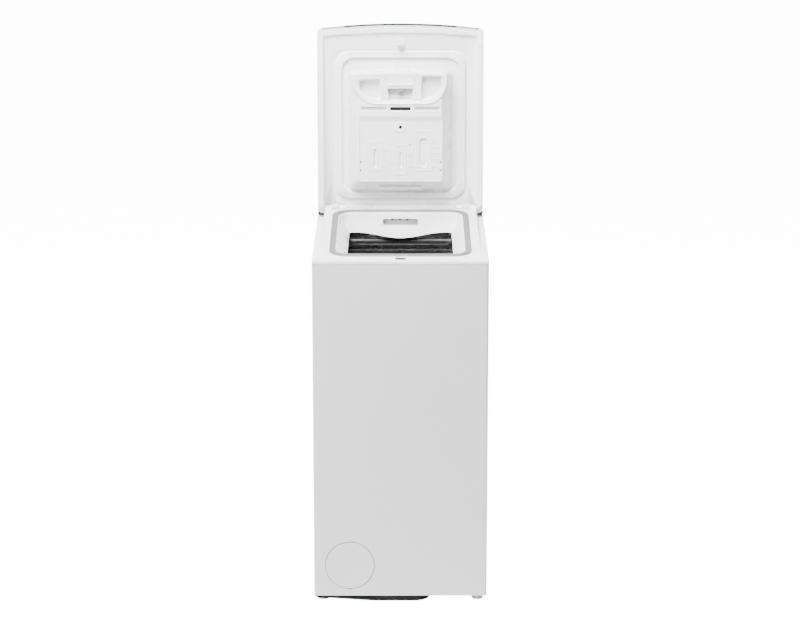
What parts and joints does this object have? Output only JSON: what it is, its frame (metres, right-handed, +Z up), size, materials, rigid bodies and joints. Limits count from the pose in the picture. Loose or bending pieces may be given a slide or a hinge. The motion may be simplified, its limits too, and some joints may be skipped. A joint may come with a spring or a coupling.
{
  "type": "top load washing machine",
  "caption": "Slim free-standing top loading washing machine with its lid raised: detergent dispenser inside the lid, funnel throat, black bellows, drum with flaps, sloped console.",
  "frame": {"origin": "on the floor under the middle of the cabinet's plan", "axes": "+Z up, +X to the right seen from the front, front panel towards -Y"},
  "size_m": [0.4, 0.6, 1.2942],
  "materials": {
    "white_enamel": "gloss",
    "zinc_steel": "satin",
    "white_plastic": "semi-gloss",
    "console_plastic": "semi-gloss",
    "grey_rubber": "satin",
    "black_rubber": "gloss",
    "display_glass": "gloss",
    "circuit": "matte",
    "grey_plastic": "matte",
    "black_plastic": "matte",
    "tub_plastic": "matte",
    "stainless": "brushed",
    "concrete": "rough",
    "motor_metal": "cast",
    "steel": "bright",
    "pulley_metal": "cast",
    "lever_black": "satin",
    "foot_grey": "matte",
    "dispenser_white": "semi-gloss",
    "latch_grey": "satin",
    "hose_grey": "matte",
    "white_enamel_plastic": "semi-gloss"
  },
  "bodies": {
    "cabinet": {"side_panel_left": "white_enamel", "side_panel_right": "white_enamel", "front_panel": "white_enamel", "rear_panel": "zinc_steel", "panel_screws": "steel", "base_tray": "zinc_steel", "top_frame": "white_plastic", "lid_gasket": "grey_rubber", "throat": "white_plastic", "bellows": "black_rubber", "console_housing": "console_plastic", "display_window": "display_glass", "control_board": "circuit", "lid_lock": "grey_plastic", "water_inlet_valve": "white_plastic", "fill_hose": "hose_grey", "filter_housing": "grey_plastic", "drain_pump": "grey_plastic", "sump_hose": "black_rubber", "drain_hose": "hose_grey", "power_inlet": "black_plastic", "suspension_rails": "zinc_steel", "suspension_springs": "steel", "damper_cylinders": "black_plastic"},
    "tub": {"tub_left_half": "tub_plastic", "tub_right_half": "tub_plastic", "tub_seam_gasket": "black_rubber", "counterweights": "concrete", "drum_bearings": "steel", "heater": "steel", "motor": "motor_metal", "drive_belt": "black_rubber", "damper_rods": "steel"},
    "drum": {"drum_shell": "stainless", "drum_lifters": "grey_plastic", "drum_shafts": "steel", "drum_pulley": "pulley_metal"},
    "front_flap": {"drum_flap_front": "stainless"},
    "rear_flap": {"drum_flap_rear": "stainless"},
    "flap_latch": {"flap_button": "steel"},
    "motor_rotor": {"motor_pulley": "steel"},
    "lid": {"lid_outer_shell": "white_plastic", "lid_inner_panel": "white_plastic", "lid_grip_strip": "grey_plastic", "lid_latch_hook": "grey_plastic"},
    "dispenser": {"dispenser_tray": "dispenser_white", "dispenser_cover": "dispenser_white"},
    "dispenser_release": {"dispenser_release_button": "latch_grey"},
    "service_cover": {"filter_cover": "white_enamel_plastic"},
    "filter_plug": {"pump_filter_cap": "grey_plastic"},
    "knob": {"program_knob": "console_plastic"},
    "start_key": {"start_button": "console_plastic"},
    "option_key": {"option_button": "console_plastic"},
    "lever": {"trolley_lever": "lever_black"},
    "carriage": {"castor_carriage": "zinc_steel"},
    "castors": {"castor_wheels": "grey_plastic"},
    "left_pad": {"foot_pad_left": "foot_grey"},
    "right_pad": {"foot_pad_right": "foot_grey"},
    "left_screw": {"foot_screw_left": "steel"},
    "right_screw": {"foot_screw_right": "steel"}
  },
  "joints": [
    {"name": "lid_hinge", "type": "hinge", "parent": "cabinet", "child": "lid", "pos_m": [0, 0.134, 0.8405], "axis": [-1, 0, 0], "range_deg": [-95.9, 0]},
    {"name": "dispenser_tilt", "type": "hinge", "parent": "lid", "child": "dispenser", "pos_m": [0, 0.1503, 0.8885], "axis": [1, 0, 0], "range_deg": [0, 28]},
    {"name": "dispenser_release_press", "type": "slide", "parent": "dispenser", "child": "dispenser_release", "axis": [0, 0, -1], "range_m": [0, 0.0025], "stiffness_N_per_m": 300, "springref_m": -0.003},
    {"name": "tub_float", "type": "slide", "parent": "cabinet", "child": "tub", "axis": [0, 0, 1], "range_m": [-0.012, 0.008], "stiffness_N_per_m": 12000, "springref_m": 0.02194, "deforming": ["bellows", "suspension_springs", "sump_hose"]},
    {"name": "drum_spin", "type": "hinge", "parent": "tub", "child": "drum", "pos_m": [0, -0.045, 0.45], "axis": [1, 0, 0], "range_deg": [-1800, 1800]},
    {"name": "motor_spin", "type": "hinge", "parent": "tub", "child": "motor_rotor", "pos_m": [-0.168, 0.115, 0.165], "axis": [1, 0, 0], "range_deg": [-25200, 25200]},
    {"name": "front_flap_hinge", "type": "hinge", "parent": "drum", "child": "front_flap", "pos_m": [0, -0.16355, 0.63116], "axis": [1, 0, 0], "range_deg": [0, 75]},
    {"name": "rear_flap_hinge", "type": "hinge", "parent": "drum", "child": "rear_flap", "pos_m": [0, 0.07355, 0.63116], "axis": [-1, 0, 0], "range_deg": [0, 75]},
    {"name": "flap_button_press", "type": "slide", "parent": "front_flap", "child": "flap_latch", "axis": [0, 0.1045, -0.9945], "range_m": [0, 0.0025], "stiffness_N_per_m": 300, "springref_m": -0.003},
    {"name": "filter_cover_hinge", "type": "hinge", "parent": "cabinet", "child": "service_cover", "pos_m": [-0.117, -0.3, 0.034], "axis": [1, 0, 0], "range_deg": [0, 95]},
    {"name": "filter_cap_turn", "type": "hinge", "parent": "cabinet", "child": "filter_plug", "pos_m": [-0.117, -0.28, 0.088], "axis": [0, -1, 0], "range_deg": [0, 720]},
    {"name": "program_knob_turn", "type": "hinge", "parent": "cabinet", "child": "knob", "pos_m": [-0.07, 0.21929, 0.87209], "axis": [0, -0.3764, 0.9265], "continuous": true},
    {"name": "start_button_press", "type": "slide", "parent": "cabinet", "child": "start_key", "axis": [0, 0.3764, -0.9265], "range_m": [0, 0.0015], "stiffness_N_per_m": 400, "springref_m": -0.002},
    {"name": "option_button_press", "type": "slide", "parent": "cabinet", "child": "option_key", "axis": [0, 0.3764, -0.9265], "range_m": [0, 0.0015], "stiffness_N_per_m": 400, "springref_m": -0.002},
    {"name": "trolley_lever_swing", "type": "hinge", "parent": "cabinet", "child": "lever", "pos_m": [0.032, -0.262, 0.01], "axis": [0, 0, 1], "range_deg": [0, 100]},
    {"name": "castor_drop", "type": "slide", "parent": "cabinet", "child": "carriage", "axis": [0, 0, -1], "range_m": [0, 0.014]},
    {"name": "castor_roll", "type": "hinge", "parent": "carriage", "child": "castors", "pos_m": [0, -0.203, 0.021], "axis": [1, 0, 0], "continuous": true},
    {"name": "left_foot_travel", "type": "slide", "parent": "cabinet", "child": "left_pad", "axis": [0, 0, -1], "range_m": [0, 0.012]},
    {"name": "left_foot_turn", "type": "hinge", "parent": "left_pad", "child": "left_screw", "pos_m": [-0.179, -0.27, 0.02], "axis": [0, 0, 1], "range_deg": [0, 2880]},
    {"name": "right_foot_travel", "type": "slide", "parent": "cabinet", "child": "right_pad", "axis": [0, 0, -1], "range_m": [0, 0.012]},
    {"name": "right_foot_turn", "type": "hinge", "parent": "right_pad", "child": "right_screw", "pos_m": [0.179, -0.27, 0.02], "axis": [0, 0, 1], "range_deg": [0, 2880]}
  ],
  "couplings": [
    {"joint": "motor_spin", "follows": "drum_spin", "ratio": 13.636},
    {"joint": "castor_drop", "follows": "trolley_lever_swing", "m_per_rad": 0.0079641},
    {"joint": "left_foot_turn", "follows": "left_foot_travel", "rad_per_m": 4188.7},
    {"joint": "right_foot_turn", "follows": "right_foot_travel", "rad_per_m": 4188.7}
  ]
}
